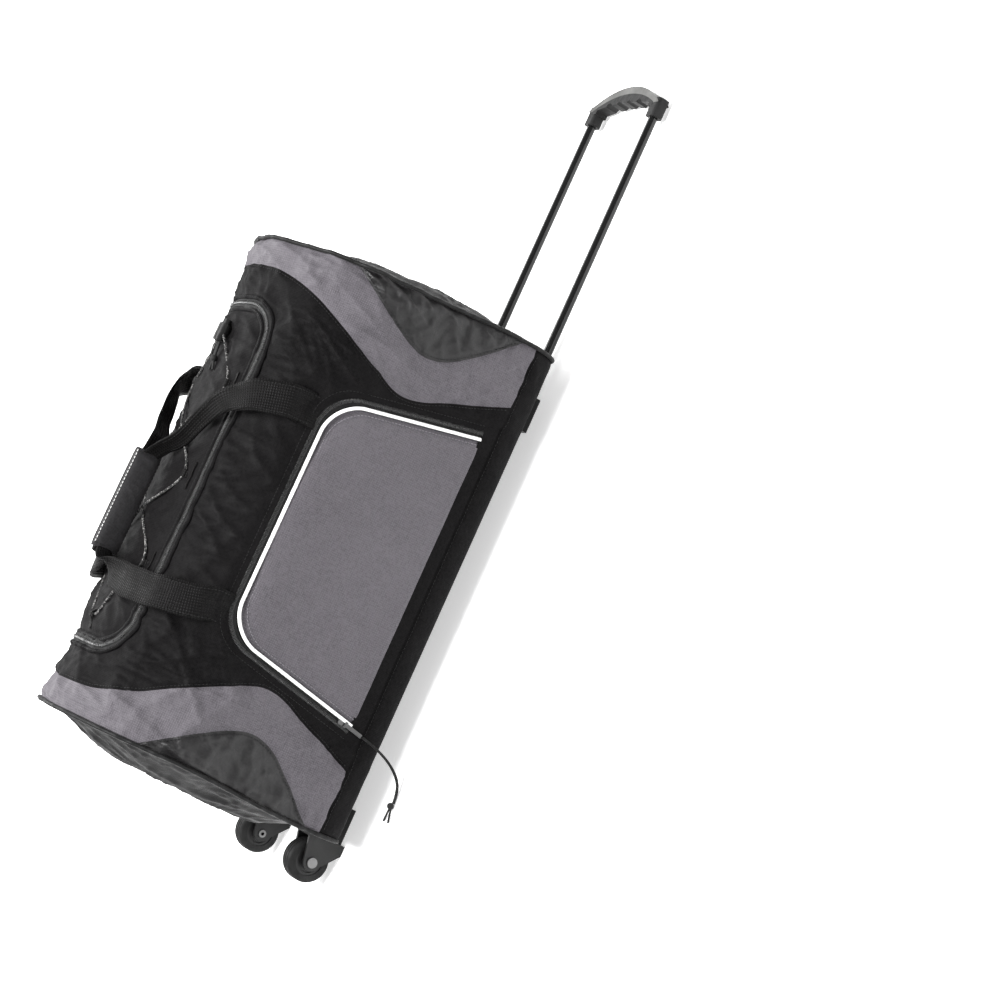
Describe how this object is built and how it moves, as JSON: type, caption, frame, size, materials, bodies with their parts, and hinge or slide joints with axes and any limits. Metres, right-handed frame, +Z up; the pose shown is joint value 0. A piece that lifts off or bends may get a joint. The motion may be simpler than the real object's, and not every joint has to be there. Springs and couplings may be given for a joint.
{
  "type": "wheeled duffel bag",
  "caption": "Wheeled sports duffel bag for bowling kit: soft shell with end bands, front zip pocket, carry handles, laced shock cord, wheels and a telescopic pull handle.",
  "frame": {"origin": "centre of the whole part's footprint with the pull handle out, on the flat underside of its four brackets", "axes": "+X from the wheels to the pull grip, +Z up from the trolley base to the carry handles, -Y towards the front pocket"},
  "size_m": [1.032, 0.3251, 0.3915],
  "materials": {
    "black_fabric": "woven polyester, matt",
    "grey_fabric": "woven polyester with a soft sheen",
    "coated_fabric": "smooth coated polyester, satin",
    "black_piping": "cord-filled edge binding",
    "white_piping": "smooth white piping",
    "zip_tape": "coil zip on woven tape",
    "board": "smooth plastic sheet",
    "lining": "thin lining cloth",
    "zip_metal": "satin black enamel",
    "black_cord": "braided cord",
    "webbing": "ribbed polypropylene webbing",
    "wrap_fabric": "padded cloth with white stitching",
    "fleck_cord": "braided elastic cord with white flecks",
    "black_plastic": "moulded, fine texture",
    "steel": "bright rolled steel",
    "black_tube": "gloss black enamel",
    "tyre": "soft moulded tread",
    "hub_plastic": "moulded, satin",
    "grip_grey": "sandy moulded texture",
    "grip_black": "soft-touch moulded"
  },
  "bodies": {
    "bag": {"main_body": "black_fabric", "base_panel": "black_fabric", "top_flap": "black_fabric", "wheel_end_band": "grey_fabric", "handle_end_band": "grey_fabric", "wheel_end_front_insert": "coated_fabric", "wheel_end_back_insert": "coated_fabric", "handle_end_front_insert": "coated_fabric", "handle_end_back_insert": "coated_fabric", "wheel_end_panel": "coated_fabric", "handle_end_panel": "coated_fabric", "wheel_end_piping": "black_piping", "handle_end_piping": "black_piping", "main_zipper": "zip_tape", "pocket_zipper": "zip_tape", "base_board": "board", "pocket_liner": "lining", "carry_strap_front": "webbing", "carry_strap_back": "webbing", "wrap_back": "wrap_fabric", "shock_cord": "fleck_cord", "shock_cord_tails": "fleck_cord", "lace_loops": "webbing", "cord_lock_barrel": "black_plastic", "cord_lock_spring": "steel", "outer_tube_near": "black_tube", "outer_tube_far": "black_tube", "guide_bracket_near": "black_plastic", "guide_bracket_far": "black_plastic", "wheel_bracket_near": "black_plastic", "wheel_bracket_far": "black_plastic", "axle_rivet_near": "steel", "axle_rivet_far": "steel", "base_screws": "steel"},
    "pull_handle": {"inner_tube_near": "black_tube", "inner_tube_far": "black_tube", "tube_glide_near": "black_plastic", "tube_glide_far": "black_plastic", "grip_shell": "grip_grey", "grip_pad": "grip_black", "grip_cap_near": "grip_black", "grip_cap_far": "grip_black"},
    "wheel_near": {"tyre_near": "tyre", "wheel_hub_near": "hub_plastic", "wheel_bush_near": "steel"},
    "wheel_far": {"tyre_far": "tyre", "wheel_hub_far": "hub_plastic", "wheel_bush_far": "steel"},
    "pocket_flap": {"pocket_panel": "grey_fabric", "pocket_piping": "white_piping"},
    "zip_slider": {"pocket_slider": "zip_metal"},
    "zip_pull": {"pocket_pull": "zip_metal", "pull_cord_front": "black_cord", "pull_cord_rear": "black_cord", "pull_cord_knot": "black_cord"},
    "lock_plunger": {"cord_lock_plunger": "black_plastic"},
    "wrap_flap": {"wrap_front": "wrap_fabric"}
  },
  "joints": [
    {"name": "pull_handle_slide", "type": "slide", "parent": "bag", "child": "pull_handle", "axis": [1, 0, 0], "range_m": [-0.366, 0]},
    {"name": "wheel_near_spin", "type": "hinge", "parent": "bag", "child": "wheel_near", "pos_m": [-0.491, -0.079, 0.03], "axis": [0, 1, 0], "continuous": true},
    {"name": "wheel_far_spin", "type": "hinge", "parent": "bag", "child": "wheel_far", "pos_m": [-0.491, 0.079, 0.03], "axis": [0, 1, 0], "continuous": true},
    {"name": "pocket_flap_open", "type": "hinge", "parent": "bag", "child": "pocket_flap", "pos_m": [-0.158, -0.1475, 0.078], "axis": [1, 0, 0], "range_deg": [0, 95]},
    {"name": "zip_slider_travel", "type": "slide", "parent": "bag", "child": "zip_slider", "axis": [0.211, 0, 0.9775], "range_m": [0, 0.122]},
    {"name": "zip_pull_swing", "type": "hinge", "parent": "zip_slider", "child": "zip_pull", "pos_m": [-0.33516, -0.1504, 0.08707], "axis": [0.9775, 0, -0.211], "range_deg": [-150, 0]},
    {"name": "cord_lock_press", "type": "slide", "parent": "bag", "child": "lock_plunger", "axis": [1, 0, 0], "range_m": [-0.004, 0], "stiffness_N_per_m": 600, "springref_m": 0.003, "deforming": ["cord_lock_spring"]},
    {"name": "wrap_open", "type": "hinge", "parent": "bag", "child": "wrap_flap", "pos_m": [-0.208, -0.0083, 0.3612], "axis": [1, 0, 0], "range_deg": [0, 75]}
  ]
}
